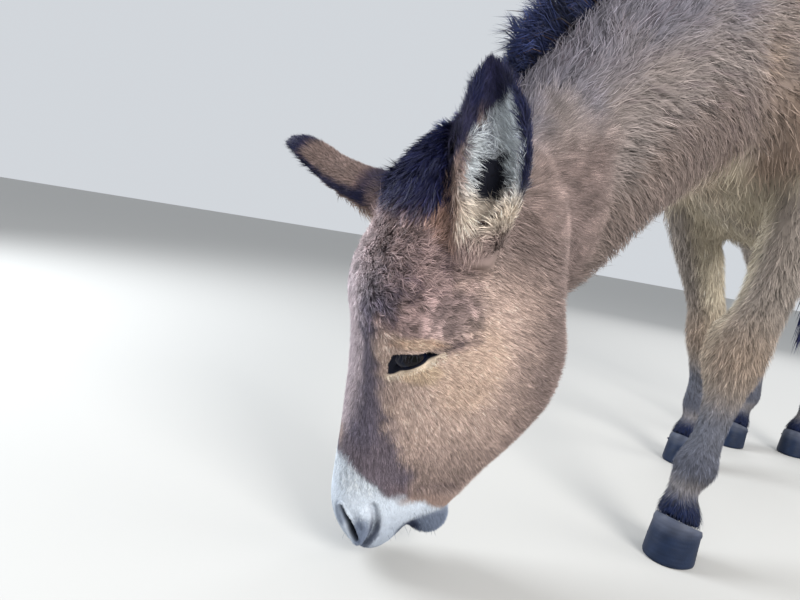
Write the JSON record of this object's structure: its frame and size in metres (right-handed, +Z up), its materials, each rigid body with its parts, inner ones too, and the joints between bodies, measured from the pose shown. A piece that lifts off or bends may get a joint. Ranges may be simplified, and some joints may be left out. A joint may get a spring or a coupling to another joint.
{
  "type": "donkey",
  "caption": "Standing grazing donkey, head lowered to the ground and turned slightly, with an upright mane, long ears, shaggy winter coat and tufted tail.",
  "frame": {"origin": "on the floor under the middle of the whole animal's box", "axes": "+Z up; the animal faces -Y and its left side is towards +X"},
  "size_m": [0.4544, 1.6716, 1.0609],
  "materials": {
    "coat": "matte winter coat, grey-brown with pale muzzle, belly and inner legs",
    "dark_hair": "matte coarse near-black hair",
    "eye": "wet gloss",
    "horn": "satin slate-grey horn"
  },
  "bodies": {
    "root": {"head": "coat", "neck": "coat", "trunk": "coat", "foreleg_left": "coat", "foreleg_right": "coat", "hindleg_left": "coat", "hindleg_right": "coat", "forehoof_left": "horn", "forehoof_right": "horn", "hindhoof_left": "horn", "hindhoof_right": "horn", "ear_left": "coat", "ear_right": "coat", "eye_left": "eye", "eye_right": "eye", "forelock": "dark_hair", "mane": "dark_hair", "tail": "coat", "tail_switch": "dark_hair"}
  },
  "joints": []
}
